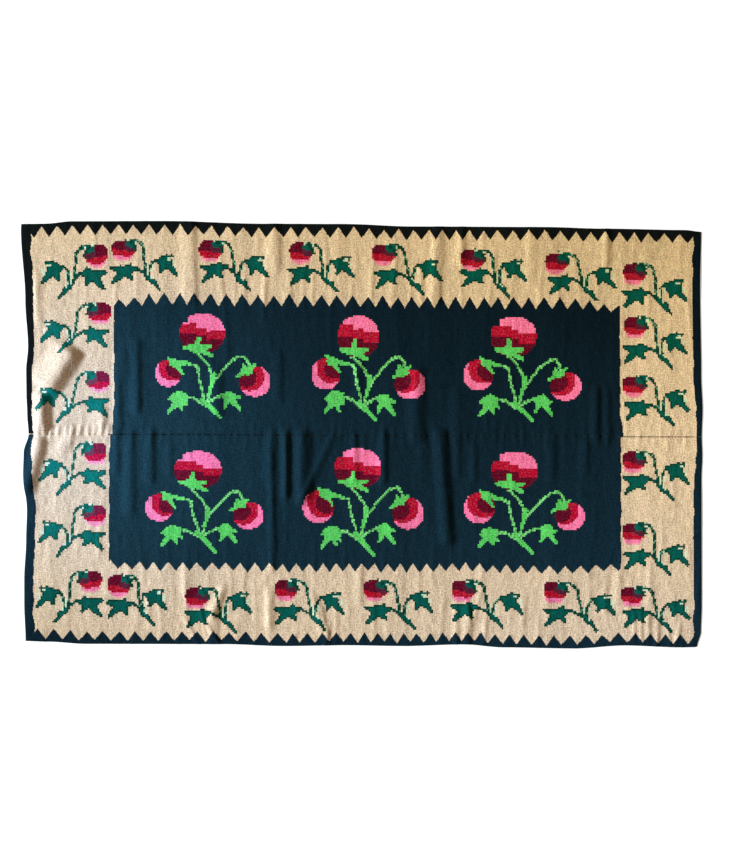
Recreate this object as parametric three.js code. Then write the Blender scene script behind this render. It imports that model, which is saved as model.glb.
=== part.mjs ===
// A handwoven wool rug, lying face up on a floor. It is woven as two long panels that are
// sewn edge to edge along the middle. X runs along the length, Y across it, Z is up, and the
// origin is on the floor under the middle of the rug. All sizes are in millimetres.

import * as THREE from 'three';

// Driving dimensions
const RUG_LENGTH = 2500;
const RUG_WIDTH = 1568;
const CLOTH_THICKNESS = 3;
const SEAM_GAP = 0.3;

// A fold fades out over this length past the ends of its crest
const FOLD_FADE = 45;

// An end that draws in pulls the cloth along with it up to this far from the end
const END_REACH = 300;

// Facets along a panel and across it
const COLUMNS = 160;
const ROWS = 10;

const CLOTH_COLOUR = 0x14232b;
const CLOTH_ROUGHNESS = 0.95;

// How far each selvedge and end draws in from the full size. "at" is the place along that edge.
const FAR_SELVEDGE = [
  { at: -1250, inset: 11 },
  { at: -1165, inset: 10 },
  { at: -1060, inset: 1 },
  { at: -725, inset: 0 },
  { at: -359, inset: 10 },
  { at: -65, inset: 11 },
  { at: 190, inset: 20 },
  { at: 668, inset: 22 },
  { at: 889, inset: 28 },
  { at: 1182, inset: 33 },
  { at: 1250, inset: 40 },
];
const NEAR_SELVEDGE = [
  { at: -1250, inset: 28 },
  { at: -1150, inset: 25 },
  { at: -1010, inset: 17 },
  { at: -505, inset: 16 },
  { at: -285, inset: 9 },
  { at: -65, inset: 12 },
  { at: 155, inset: 9 },
  { at: 375, inset: 15 },
  { at: 522, inset: 4 },
  { at: 780, inset: 0 },
  { at: 962, inset: 11 },
  { at: 1180, inset: 4 },
  { at: 1222, inset: 5 },
  { at: 1250, inset: 20 },
];
const LEFT_END = [
  { at: -784, inset: 17 },
  { at: -640, inset: 12 },
  { at: -555, inset: 12 },
  { at: -400, inset: 19 },
  { at: -290, inset: 22 },
  { at: -145, inset: 8 },
  { at: -70, inset: 10 },
  { at: 0, inset: 28 },
  { at: 75, inset: 23 },
  { at: 150, inset: 20 },
  { at: 237, inset: 19 },
  { at: 325, inset: 26 },
  { at: 500, inset: 16 },
  { at: 765, inset: 0 },
  { at: 784, inset: 1 },
];
const RIGHT_END = [
  { at: -784, inset: 20 },
  { at: -740, inset: 6 },
  { at: -640, inset: 3 },
  { at: -160, inset: 4 },
  { at: -70, inset: 1 },
  { at: 0, inset: 3 },
  { at: 105, inset: 0 },
  { at: 237, inset: 5 },
  { at: 590, inset: 9 },
  { at: 784, inset: 5 },
];

// The line of the seam: its distance from the middle of the rug
const SEAM_LINE = [
  { at: -1250, y: 3 },
  { at: -700, y: 1 },
  { at: 0, y: -3 },
  { at: 1250, y: -8 },
];

// Folds that stand up from the floor: the far and near ends of the crest, the widths of its foot
// towards the rug's left and right ends, and its height.
const FAR_BORDER_FOLDS = [
  { x0: -623, y0: 799, x1: -623, y1: 509, left: 66, right: 29, lift: 5.5 },
  { x0: -318, y0: 788, x1: -318, y1: 620, left: 44, right: 29, lift: 6 },
  { x0: 284, y0: 780, x1: 262, y1: 500, left: 29, right: 37, lift: 6.5 },
  { x0: 368, y0: 777, x1: 366, y1: 640, left: 26, right: 22, lift: 6 },
  { x0: 897, y0: 769, x1: 897, y1: 640, left: 29, right: 20, lift: 6.5 },
];
const FAR_FIELD_FOLDS = [
  { x0: -824, y0: 326, x1: -824, y1: 105, left: 37, right: 26, lift: 8 },
  { x0: -894, y0: 282, x1: -894, y1: 3, left: 22, right: 26, lift: 5 },
  { x0: -531, y0: 223, x1: -531, y1: 90, left: 44, right: 37, lift: 6.5 },
  { x0: -304, y0: 282, x1: -304, y1: 135, left: 37, right: 26, lift: 5 },
  { x0: -14, y0: 256, x1: -14, y1: 157, left: 29, right: 29, lift: 5 },
  { x0: 203, y0: 223, x1: 203, y1: -5, left: 51, right: 44, lift: 10.5 },
  { x0: 346, y0: 142, x1: 346, y1: -5, left: 37, right: 59, lift: 5 },
  { x0: 859, y0: 149, x1: 859, y1: -5, left: 29, right: 26, lift: 8 },
  { x0: 900, y0: 142, x1: 900, y1: -5, left: 22, right: 22, lift: 5 },
];
const NEAR_FIELD_FOLDS = [
  { x0: -901, y0: -5, x1: -901, y1: -118, left: 29, right: 29, lift: 5 },
  { x0: -850, y0: -5, x1: -850, y1: -269, left: 37, right: 33, lift: 6.5 },
  { x0: -773, y0: -5, x1: -773, y1: -159, left: 37, right: 26, lift: 7.5 },
  { x0: -330, y0: -5, x1: -330, y1: -481, left: 22, right: 22, lift: 6.5 },
  { x0: -278, y0: -5, x1: -278, y1: -210, left: 24, right: 18, lift: 12 },
  { x0: -223, y0: -5, x1: -223, y1: -228, left: 30, right: 51, lift: 15 },
  { x0: -116, y0: -19, x1: -212, y1: -217, left: 18, right: 29, lift: 6.5 },
  { x0: -28, y0: -20, x1: -28, y1: -150, left: 26, right: 24, lift: 5 },
  { x0: 80, y0: -12, x1: 80, y1: -160, left: 32, right: 26, lift: 8.5 },
  { x0: 287, y0: -5, x1: 311, y1: -380, left: 36, right: 40, lift: 14 },
  { x0: 698, y0: -12, x1: 698, y1: -151, left: 37, right: 26, lift: 5 },
];
const LEFT_END_FOLDS = [
  { x0: -1070, y0: 292, x1: -1141, y1: 180, left: 96, right: 55, lift: 27 },
  { x0: -1175, y0: 134, x1: -1177, y1: 34, left: 42, right: 44, lift: 22 },
  { x0: -1184, y0: -28, x1: -1225, y1: -190, left: 36, right: 42, lift: 17 },
  { x0: -952, y0: 84, x1: -949, y1: 34, left: 40, right: 22, lift: 6 },
  { x0: -1066, y0: -6, x1: -1092, y1: -44, left: 34, right: 30, lift: 6 },
];
const NEAR_BORDER_FOLDS = [
  { x0: -516, y0: -577, x1: -546, y1: -650, left: 24, right: 29, lift: 9 },
  { x0: -549, y0: -650, x1: -549, y1: -775, left: 29, right: 29, lift: 5 },
  { x0: -338, y0: -590, x1: -338, y1: -687, left: 22, right: 29, lift: 6 },
  { x0: -175, y0: -613, x1: -124, y1: -775, left: 29, right: 29, lift: 5.5 },
  { x0: 388, y0: -650, x1: 388, y1: -782, left: 33, right: 22, lift: 6.5 },
];
const FOLDS = [
  ...FAR_BORDER_FOLDS,
  ...FAR_FIELD_FOLDS,
  ...NEAR_FIELD_FOLDS,
  ...LEFT_END_FOLDS,
  ...NEAR_BORDER_FOLDS,
];

// Reads a column of a table at a place between its rows, easing from each row to the next
function along(table, column, place) {
  const next = table.findIndex((row) => row.at >= place);
  if (next === 0) return table[0][column];
  if (next < 0) return table[table.length - 1][column];
  const [before, after] = [table[next - 1], table[next]];
  return THREE.MathUtils.lerp(
    before[column],
    after[column],
    THREE.MathUtils.smoothstep(place, before.at, after.at),
  );
}

// How far one fold lifts the cloth at a point
function foldHeight(fold, x, y) {
  const crest = new THREE.Vector2(fold.x1 - fold.x0, fold.y1 - fold.y0);
  const crestLength = crest.length();
  crest.normalize();
  const offset = new THREE.Vector2(x - fold.x0, y - fold.y0);
  const onCrest = offset.dot(crest);
  const pastEnd = Math.max(-onCrest, onCrest - crestLength, 0);
  const aside = crest.cross(offset);
  const foot = aside < 0 ? fold.left : fold.right;
  const reach = Math.hypot(aside / foot, pastEnd / FOLD_FADE);
  return reach < 1 ? (fold.lift * (1 + Math.cos(Math.PI * reach))) / 2 : 0;
}

// The height of the underside above the floor: 0 wherever the cloth lies flat
function underside(x, y) {
  return FOLDS.reduce((height, fold) => height + foldHeight(fold, x, y), 0);
}

// A point of a panel from its shares of the way along and across it. side is 1 for the far
// panel, whose outer selvedge is at +Y, and -1 for the near one.
function panelPoint(side, alongShare, acrossShare) {
  const selvedge = side > 0 ? FAR_SELVEDGE : NEAR_SELVEDGE;
  const levelY = (side * acrossShare * RUG_WIDTH) / 2;
  const fromLeft = alongShare * RUG_LENGTH;
  const fromRight = RUG_LENGTH - fromLeft;
  const drawnLeft = along(LEFT_END, 'inset', levelY) * Math.max(1 - fromLeft / END_REACH, 0);
  const drawnRight = along(RIGHT_END, 'inset', levelY) * Math.max(1 - fromRight / END_REACH, 0);
  const x = fromLeft - RUG_LENGTH / 2 + drawnLeft - drawnRight;
  const seamY = along(SEAM_LINE, 'y', x) + (side * SEAM_GAP) / 2;
  const outerY = side * (RUG_WIDTH / 2 - along(selvedge, 'inset', x));
  return { x, y: THREE.MathUtils.lerp(seamY, outerY, acrossShare) };
}

// One panel as a closed sheet: a lattice of points underneath, the same lattice one thickness
// higher, and a rim between them
function panelGeometry(side) {
  const positions = [];
  for (const rise of [0, CLOTH_THICKNESS]) {
    for (let row = 0; row <= ROWS; row += 1) {
      for (let column = 0; column <= COLUMNS; column += 1) {
        const { x, y } = panelPoint(side, column / COLUMNS, row / ROWS);
        positions.push(x, y, underside(x, y) + rise);
      }
    }
  }

  const vertex = (layer, row, column) => (layer * (ROWS + 1) + row) * (COLUMNS + 1) + column;
  const triangles = [];
  const addQuad = (a, b, c, d) => {
    // The corners run round anticlockwise for the far panel, and the near one mirrors them
    if (side > 0) triangles.push(a, b, c, a, c, d);
    else triangles.push(a, c, b, a, d, c);
  };
  for (let row = 0; row < ROWS; row += 1) {
    for (let column = 0; column < COLUMNS; column += 1) {
      const corners = [[row, column], [row, column + 1], [row + 1, column + 1], [row + 1, column]];
      addQuad(...corners.map(([r, c]) => vertex(1, r, c)));
      addQuad(...corners.map(([r, c]) => vertex(0, r, c)).reverse());
    }
  }
  for (let column = 0; column < COLUMNS; column += 1) {
    addQuad(vertex(0, 0, column), vertex(0, 0, column + 1), vertex(1, 0, column + 1), vertex(1, 0, column));
    addQuad(
      vertex(0, ROWS, column + 1),
      vertex(0, ROWS, column),
      vertex(1, ROWS, column),
      vertex(1, ROWS, column + 1),
    );
  }
  for (let row = 0; row < ROWS; row += 1) {
    addQuad(vertex(0, row + 1, 0), vertex(0, row, 0), vertex(1, row, 0), vertex(1, row + 1, 0));
    addQuad(
      vertex(0, row, COLUMNS),
      vertex(0, row + 1, COLUMNS),
      vertex(1, row + 1, COLUMNS),
      vertex(1, row, COLUMNS),
    );
  }

  const geometry = new THREE.BufferGeometry();
  geometry.setAttribute('position', new THREE.Float32BufferAttribute(positions, 3));
  geometry.setIndex(triangles);
  geometry.computeVertexNormals();
  return geometry;
}

function makePanel(name, side) {
  const wool = new THREE.MeshStandardMaterial({
    name: 'woven wool',
    color: CLOTH_COLOUR,
    roughness: CLOTH_ROUGHNESS,
    metalness: 0,
  });
  const panel = new THREE.Mesh(panelGeometry(side), wool);
  panel.name = name;
  return panel;
}

const rug = new THREE.Group();
rug.name = 'handwoven_wool_rug';
rug.add(makePanel('far_panel', 1), makePanel('near_panel', -1));

export default rug;
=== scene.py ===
"""A handwoven wool rug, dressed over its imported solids.

Two panels of weft-faced tapestry lie on the floor, sewn edge to edge. Their ground is worked out
in the material from each panel's own cloth coordinates, and the flowers are charted step by step
on the faces of the sheets. Lengths are in millimetres where nothing else is said.
"""

import logging
import math
from dataclasses import dataclass
from enum import Enum

import bpy
import numpy as np
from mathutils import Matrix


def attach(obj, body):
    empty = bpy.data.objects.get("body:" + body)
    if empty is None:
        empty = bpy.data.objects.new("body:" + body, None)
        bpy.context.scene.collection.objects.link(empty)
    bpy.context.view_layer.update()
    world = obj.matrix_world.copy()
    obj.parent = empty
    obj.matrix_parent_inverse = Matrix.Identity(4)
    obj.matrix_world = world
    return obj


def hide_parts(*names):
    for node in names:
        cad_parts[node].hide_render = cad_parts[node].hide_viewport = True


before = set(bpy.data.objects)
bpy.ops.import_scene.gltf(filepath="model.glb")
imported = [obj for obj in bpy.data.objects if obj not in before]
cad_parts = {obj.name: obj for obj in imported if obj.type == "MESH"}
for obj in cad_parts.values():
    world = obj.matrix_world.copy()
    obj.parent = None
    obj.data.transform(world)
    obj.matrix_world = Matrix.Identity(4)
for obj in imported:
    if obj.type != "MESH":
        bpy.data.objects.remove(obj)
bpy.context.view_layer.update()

MM = 0.001
LOG = logging.getLogger("rug")

Place = tuple[float, float]
Points = tuple[Place, ...]
Widths = tuple[float, float]
Groups = dict[str, bpy.types.NodeTree]
Value = float | bpy.types.NodeSocket
Tint = tuple[float, ...] | bpy.types.NodeSocket


class Side(Enum):
    """The two panels, by the side of the seam that they lie on."""

    FAR = 1
    NEAR = -1


class Dye(Enum):
    """The dyed wools, as display colours from 0 to 255."""

    DARK = (8, 21, 31)
    COAL = (15, 20, 22)
    CREAM = (214, 192, 162)
    PINK = (243, 118, 166)
    CRIMSON = (176, 0, 44)
    MAROON = (95, 10, 36)
    LEAF = (86, 200, 94)
    STEM = (70, 150, 76)
    EMERALD = (0, 85, 75)
    PINE = (8, 60, 46)
    MINT = (196, 214, 184)
    SHOOT = (118, 212, 122)
    SAGE = (104, 156, 124)
    PLUM = (82, 32, 50)
    BLUSH = (226, 146, 158)
    ROSE = (230, 116, 156)
    RUBY = (170, 0, 36)

    @property
    def linear(self) -> tuple[float, float, float]:
        """The colour as scene-linear values."""
        shares = (level / 255 for level in self.value)
        return tuple(s / 12.92 if s <= 0.04045 else ((s + 0.055) / 1.055) ** 2.4 for s in shares)


@dataclass(frozen=True)
class EdgeLine:
    """A line along an edge, eased from one row of a short table to the next.

    Args:
        places: Where the rows stand along the edge.
        values: The value at each row.
    """

    places: tuple[float, ...]
    values: tuple[float, ...]

    def at(self, place: np.ndarray) -> np.ndarray:
        """Reads the line.

        Args:
            place: Places along the edge.

        Returns:
            The value at each place.
        """
        places, values = np.array(self.places), np.array(self.values)
        row = np.clip(np.searchsorted(places, place) - 1, 0, len(places) - 2)
        share = np.clip((place - places[row]) / (places[row + 1] - places[row]), 0, 1)
        return values[row] + share * share * (3 - 2 * share) * (values[row + 1] - values[row])


@dataclass(frozen=True)
class Fold:
    """A soft ridge that stands up from the floor.

    Args:
        x0, y0: The far end of its crest.
        x1, y1: The near end of its crest.
        left: The width of its foot towards the rug's left end.
        right: The width of its foot towards the right end.
        lift: How high its crest stands.
    """

    x0: float
    y0: float
    x1: float
    y1: float
    left: float
    right: float
    lift: float

    def height(self, x: np.ndarray, y: np.ndarray, fade: float) -> np.ndarray:
        """Works out how far the fold lifts the cloth.

        Args:
            x, y: Places on the floor.
            fade: The length over which it dies out past the ends of its crest.

        Returns:
            The lift at each place.
        """
        crest = math.hypot(self.x1 - self.x0, self.y1 - self.y0)
        run_x, run_y = (self.x1 - self.x0) / crest, (self.y1 - self.y0) / crest
        off_x, off_y = x - self.x0, y - self.y0
        on_crest = off_x * run_x + off_y * run_y
        aside = off_y * run_x - off_x * run_y
        foot = np.where(aside < 0, self.left, self.right)
        past_end = np.maximum(np.maximum(-on_crest, on_crest - crest), 0)
        reach = np.minimum(np.hypot(aside / foot, past_end / fade), 1)
        return self.lift * (1 + np.cos(np.pi * reach)) / 2


FAR_BORDER_FOLDS = (
    Fold(-623, 799, -623, 509, 66, 29, 5.5),
    Fold(-318, 788, -318, 620, 44, 29, 6),
    Fold(-87, 788, -87, 509, 44, 44, 2.5),
    Fold(284, 780, 262, 500, 29, 37, 6.5),
    Fold(368, 777, 366, 640, 26, 22, 6),
    Fold(628, 777, 628, 560, 40, 33, 3),
    Fold(897, 769, 897, 640, 29, 20, 6.5),
)
FAR_FIELD_FOLDS = (
    Fold(-824, 326, -824, 105, 37, 26, 8),
    Fold(-870, 304, -870, 223, 22, 22, 4),
    Fold(-894, 282, -894, 3, 22, 26, 5),
    Fold(-531, 223, -531, 90, 44, 37, 6.5),
    Fold(-304, 282, -304, 135, 37, 26, 5),
    Fold(-14, 256, -14, 157, 29, 29, 5),
    Fold(203, 223, 203, -5, 51, 44, 10.5),
    Fold(346, 142, 346, -5, 37, 59, 5),
    Fold(859, 149, 859, -5, 29, 26, 8),
    Fold(900, 142, 900, -5, 22, 22, 5),
)
NEAR_FIELD_FOLDS = (
    Fold(-901, -5, -901, -118, 29, 29, 5),
    Fold(-850, -5, -850, -269, 37, 33, 6.5),
    Fold(-773, -5, -773, -159, 37, 26, 7.5),
    Fold(-703, -56, -703, -129, 29, 22, 3),
    Fold(-340, -27, -340, -148, 33, 22, 4),
    Fold(-330, -5, -330, -481, 22, 22, 6.5),
    Fold(-278, -5, -278, -210, 24, 18, 12),
    Fold(-223, -5, -223, -228, 30, 51, 15),
    Fold(-116, -19, -212, -217, 18, 29, 6.5),
    Fold(-28, -20, -28, -150, 26, 24, 5),
    Fold(80, -12, 80, -160, 32, 26, 8.5),
    Fold(221, -27, 221, -118, 29, 29, 3),
    Fold(287, -5, 311, -380, 36, 40, 14),
    Fold(349, -27, 349, -129, 22, 26, 4.5),
    Fold(412, -56, 412, -151, 22, 22, 4.5),
    Fold(698, -12, 698, -151, 37, 26, 5),
    Fold(819, -41, 819, -129, 29, 26, 4),
)
LEFT_END_FOLDS = (
    Fold(-1070, 292, -1141, 180, 96, 55, 27),
    Fold(-1175, 134, -1177, 34, 42, 44, 22),
    Fold(-1184, -28, -1225, -190, 36, 42, 17),
    Fold(-952, 84, -949, 34, 40, 22, 6),
    Fold(-1066, -6, -1092, -44, 34, 30, 6),
    Fold(-1188, 560, -1188, 428, 22, 29, 4),
)
NEAR_BORDER_FOLDS = (
    Fold(-645, -496, -645, -569, 29, 37, 3.5),
    Fold(-516, -577, -546, -650, 24, 29, 9),
    Fold(-549, -650, -549, -775, 29, 29, 5),
    Fold(-338, -590, -338, -687, 22, 29, 6),
    Fold(-175, -613, -124, -775, 29, 29, 5.5),
    Fold(-8, -503, -8, -599, 29, 29, 3),
    Fold(345, -643, 345, -782, 18, 22, 3.5),
    Fold(388, -650, 388, -782, 33, 22, 6.5),
    Fold(940, -540, 940, -599, 29, 29, 3),
    Fold(999, -672, 999, -731, 15, 15, 4),
    Fold(1024, -672, 1024, -738, 15, 15, 4),
    Fold(1050, -672, 1050, -731, 15, 15, 4),
    Fold(-640, -690, -604, -762, 9, 12, 4),
    Fold(-588, -655, -577, -715, 9, 11, 4),
    Fold(-566, -700, -522, -768, 9, 12, 4.5),
    Fold(-148, -640, -130, -712, 9, 12, 3),
    Fold(-119, -698, -135, -772, 9, 12, 3),
    Fold(384, -612, 399, -690, 9, 11, 3.5),
    Fold(430, -590, 412, -668, 9, 12, 3),
    Fold(458, -650, 446, -774, 11, 14, 3.5),
    Fold(1086, -708, 1078, -780, 9, 11, 3.5),
    Fold(1124, -728, 1131, -782, 9, 11, 4),
    Fold(1162, -716, 1150, -776, 9, 12, 4),
)


@dataclass(frozen=True)
class ToothLine:
    """A line of saw teeth, counted from its left end.

    Args:
        places: Where every fifth pale tip stands, and the last one.
        last: The number of the last tip.
    """

    places: tuple[float, ...]
    last: int

    def count(self, x: np.ndarray) -> np.ndarray:
        """Counts the teeth up to each place, so that whole numbers fall on the pale tips."""
        numbers = [5 * row for row in range(len(self.places) - 1)] + [self.last]
        first, end, pitch = self.places[0], self.places[-1], (self.places[1] - self.places[0]) / 5
        beyond = np.minimum(x - first, 0) + np.maximum(x - end, 0)
        return np.interp(x, self.places, numbers) + beyond / pitch


@dataclass(frozen=True)
class Gathers:
    """Small puckers along the seam, where the sewing draws the cloth in."""

    seed: int = 17
    spacing: tuple[float, float] = (26.0, 46.0)
    reach: tuple[float, float] = (22.0, 55.0)
    lift: tuple[float, float] = (0.6, 1.9)
    foot: float = 11.0
    end_inset: float = 20.0
    lean: float = 5.0
    tight_left: float = -1190.0
    tight_right: float = -912.0
    tight_spacing: float = 26.0
    tight_reach: float = 28.0
    tight_lift: float = 4.6
    tight_lean: float = 3.0
    tight_start: float = 4.0

    def folds(self, length: float) -> tuple[Fold, ...]:
        """Lays the puckers out along the seam.

        Args:
            length: The length of the rug.

        Returns:
            One small fold for each pucker.
        """
        draw = np.random.default_rng(self.seed)
        found = []
        for side in Side:
            x = self.end_inset - length / 2
            while x < length / 2 - self.end_inset:
                reach, lift = draw.uniform(*self.reach), draw.uniform(*self.lift)
                ends = sorted((0.0, side.value * reach), reverse=True)
                lean = draw.uniform(-self.lean, self.lean)
                found.append(Fold(x, ends[0], x + lean, ends[1], self.foot, self.foot, lift))
                x += draw.uniform(*self.spacing)
        for x in np.arange(self.tight_left, self.tight_right, self.tight_spacing):
            place = x + draw.uniform(-self.tight_lean, self.tight_lean)
            top = self.tight_reach * draw.uniform(0.7, 1.2)
            lift = self.tight_lift * draw.uniform(0.7, 1.15)
            start = (place + self.tight_lean, top, place, self.tight_start)
            found.append(Fold(*start, self.foot, self.foot, lift))
        return tuple(found)


@dataclass(frozen=True)
class Ripples:
    """The faint ripples that run across the rug and grow towards its selvedges."""

    seed: int = 11
    waves: int = 26
    lengths: tuple[float, float] = (34.0, 95.0)
    bends: tuple[float, float] = (260.0, 900.0)
    lift: float = 1.1
    threshold: float = 0.4
    sway: float = 9.0
    sway_length: float = 170.0
    full_at: float = 500.0
    least_share: float = 0.35

    def height(self, x: np.ndarray, y: np.ndarray) -> np.ndarray:
        """Works out how far the ripples lift the cloth.

        Args:
            x, y: Places on the floor.

        Returns:
            The lift at each place, which is 0 between the ripples.
        """
        draw = np.random.default_rng(self.seed)
        total = np.zeros(np.broadcast(x, y).shape)
        for _ in range(self.waves):
            length, bend = draw.uniform(*self.lengths), draw.uniform(*self.bends)
            phase, lean, turn = draw.uniform(0, 2 * np.pi, 3)
            swayed = x + self.sway * np.sin(y / self.sway_length + lean)
            wave = np.sin(2 * np.pi * swayed / length + phase)
            total += wave * np.sin(2 * np.pi * y / bend + turn)
        total /= np.sqrt(self.waves) / 2
        share = np.clip(np.abs(y) / self.full_at, self.least_share, 1)
        return self.lift * share * np.maximum(total - self.threshold, 0)


@dataclass(frozen=True)
class RugForm:
    """The size and lie of the whole rug, as its solids have them."""

    length: float = 2500.0
    width: float = 1568.0
    thickness: float = 3.0
    seam_gap: float = 0.3
    fold_fade: float = 45.0
    gather_fade: float = 16.0
    end_reach: float = 300.0
    far_selvedge: EdgeLine = EdgeLine(
        (-1250, -1165, -1060, -725, -359, -65, 190, 668, 889, 1182, 1250),
        (11, 10, 1, 0, 10, 11, 20, 22, 28, 33, 40),
    )
    near_selvedge: EdgeLine = EdgeLine(
        (-1250, -1150, -1010, -505, -285, -65, 155, 375, 522, 780, 962, 1180, 1222, 1250),
        (28, 25, 17, 16, 9, 12, 9, 15, 4, 0, 11, 4, 5, 20),
    )
    left_end: EdgeLine = EdgeLine(
        (-784, -640, -555, -400, -290, -145, -70, 0, 75, 150, 237, 325, 500, 765, 784),
        (17, 12, 12, 19, 22, 8, 10, 28, 23, 20, 19, 26, 16, 0, 1),
    )
    right_end: EdgeLine = EdgeLine(
        (-784, -740, -640, -160, -70, 0, 105, 237, 590, 784),
        (20, 6, 3, 4, 1, 3, 0, 5, 9, 5),
    )
    seam_line: EdgeLine = EdgeLine((-1250, -700, 0, 1250), (3, 1, -3, -8))
    far_teeth: tuple[ToothLine, ToothLine] = (
        ToothLine((-1175, -895, -610, -320, -30, 245, 495, 785, 1050, 1165), 42),
        ToothLine((-865, -585, -295, -5, 265, 525, 810, 915), 32),
    )
    near_teeth: tuple[ToothLine, ToothLine] = (
        ToothLine((-1160, -860, -575, -280, -15, 225, 460, 730, 1030, 1195), 43),
        ToothLine((-870, -605, -340, -95, 140, 380, 630, 915), 35),
    )
    folds: tuple[Fold, ...] = (
        FAR_BORDER_FOLDS + FAR_FIELD_FOLDS + NEAR_FIELD_FOLDS + LEFT_END_FOLDS + NEAR_BORDER_FOLDS
    )
    gathers: Gathers = Gathers()
    ripples: Ripples = Ripples()

    def underside(self, x: np.ndarray, y: np.ndarray) -> np.ndarray:
        """Works out how high the cloth stands off the floor.

        Args:
            x, y: Places on the floor.

        Returns:
            The height of the underside at each place, which is 0 where the cloth lies flat.
        """
        height = self.ripples.height(x, y)
        for fold in self.folds:
            height += fold.height(x, y, self.fold_fade)
        seam = self.seam_line.at(x)
        for fold in self.gathers.folds(self.length):
            height += fold.height(x, y - seam, self.gather_fade)
        return height

    def point(self, side: Side, along: np.ndarray, across: np.ndarray) -> tuple[np.ndarray, np.ndarray]:
        """Finds points of a panel from their shares of the way along it and across it.

        Args:
            side: The panel.
            along: Shares of the way from the left end to the right end.
            across: Shares of the way from the seam to the outer selvedge.

        Returns:
            The x and y of each point.
        """
        sign = side.value
        selvedge = self.far_selvedge if side is Side.FAR else self.near_selvedge
        level_y = sign * across * self.width / 2
        from_left, from_right = along * self.length, (1 - along) * self.length
        left = self.left_end.at(level_y) * np.maximum(1 - from_left / self.end_reach, 0)
        right = self.right_end.at(level_y) * np.maximum(1 - from_right / self.end_reach, 0)
        x = from_left - self.length / 2 + left - right
        seam_y = self.seam_line.at(x) + sign * self.seam_gap / 2
        outer_y = sign * (self.width / 2 - selvedge.at(x))
        return x, seam_y + across * (outer_y - seam_y)


@dataclass(frozen=True)
class Oval:
    """A full oval, a little squarer than an ellipse."""

    x: float
    y: float
    half_width: float
    half_height: float
    fullness: float = 2.15

    def covers(self, x: np.ndarray, y: np.ndarray) -> np.ndarray:
        """Marks the places inside it.

        Args:
            x, y: Places in the motif.

        Returns:
            True inside.
        """
        wide = np.abs((x - self.x) / self.half_width) ** self.fullness
        return wide + np.abs((y - self.y) / self.half_height) ** self.fullness <= 1


@dataclass(frozen=True)
class Stroke:
    """A woven line through a few points, tapering from one width to another."""

    points: Points
    start: float
    end: float

    def covers(self, x: np.ndarray, y: np.ndarray) -> np.ndarray:
        """Marks the places on it.

        Args:
            x, y: Places in the motif.

        Returns:
            True on the line.
        """
        path = np.array(self.points, dtype=float)
        runs = np.linalg.norm(np.diff(path, axis=0), axis=1)
        covered = np.zeros(x.shape, dtype=bool)
        done = 0.0
        for (ax, ay), (bx, by), run in zip(path[:-1], path[1:], runs):
            share = np.clip(((x - ax) * (bx - ax) + (y - ay) * (by - ay)) / run**2, 0, 1)
            away = np.hypot(x - ax - share * (bx - ax), y - ay - share * (by - ay))
            width = self.start + (self.end - self.start) * (done + share * run) / runs.sum()
            covered |= away <= width / 2
            done += run
        return covered


@dataclass(frozen=True)
class Placing:
    """Where a motif stands, and how its parts were woven off their usual places and sizes.

    Args:
        x, y: The joint of its stems.
        mirror: -1 for one that leans to the right.
        rise: Its height, as a share of the usual one.
        flower, left_bud, right_bud, left_leaf, right_leaf, tail: How far each part is moved.
        head_size: The width of the big flower, as a share of the usual one.
        left_size: The size of the left bud, as a share of the usual one.
    """

    x: float
    y: float
    mirror: int = 1
    rise: float = 1.0
    flower: Place = (0.0, 0.0)
    left_bud: Place = (0.0, 0.0)
    right_bud: Place = (0.0, 0.0)
    left_leaf: Place = (0.0, 0.0)
    right_leaf: Place = (0.0, 0.0)
    tail: Place = (0.0, 0.0)
    head_size: float = 1.0
    left_size: float = 1.0


@dataclass
class Chart:
    """The flowers' colour at every step of the pattern.

    Args:
        x, y: The middle of each step on the floor, for both panels.
        colour: Its colour, with 1 in the last place where a flower covers it.
    """

    x: np.ndarray
    y: np.ndarray
    colour: np.ndarray

    def every(self, count: int) -> np.ndarray:
        """Marks every so many steps, on a slant."""
        row, column = np.indices(self.x.shape[1:])
        return np.broadcast_to((row + column) % count == 0, self.x.shape)

    @staticmethod
    def inside(covered: np.ndarray) -> np.ndarray:
        """Marks the covered steps that have no open step beside them."""
        held = covered.copy()
        for axis in (1, 2):
            for way in (-1, 1):
                held &= np.roll(covered, way, axis)
        return held

    def paint(self, covered: np.ndarray, dye: Dye) -> None:
        """Works the covered steps in one wool."""
        self.colour[covered] = (*dye.linear, 1.0)

    def paint_edged(self, covered: np.ndarray, dye: Dye, edge: Dye) -> None:
        """Works the covered steps in one wool, with the outermost ones in another."""
        self.paint(covered, edge)
        self.paint(self.inside(covered), dye)


@dataclass(frozen=True)
class Leaf:
    """A leaf: a rounded body with a pointed lobe to each tip.

    Args:
        x, y: The middle of the body.
        half_width, half_height: Half the body's sizes.
        lobes: The tips, measured from the middle.
        breadth: How broad the lobes start.
        start: The share of the way to its tip at which a lobe starts.
    """

    x: float
    y: float
    half_width: float
    half_height: float
    lobes: Points
    breadth: float
    start: float = 0.0


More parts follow.
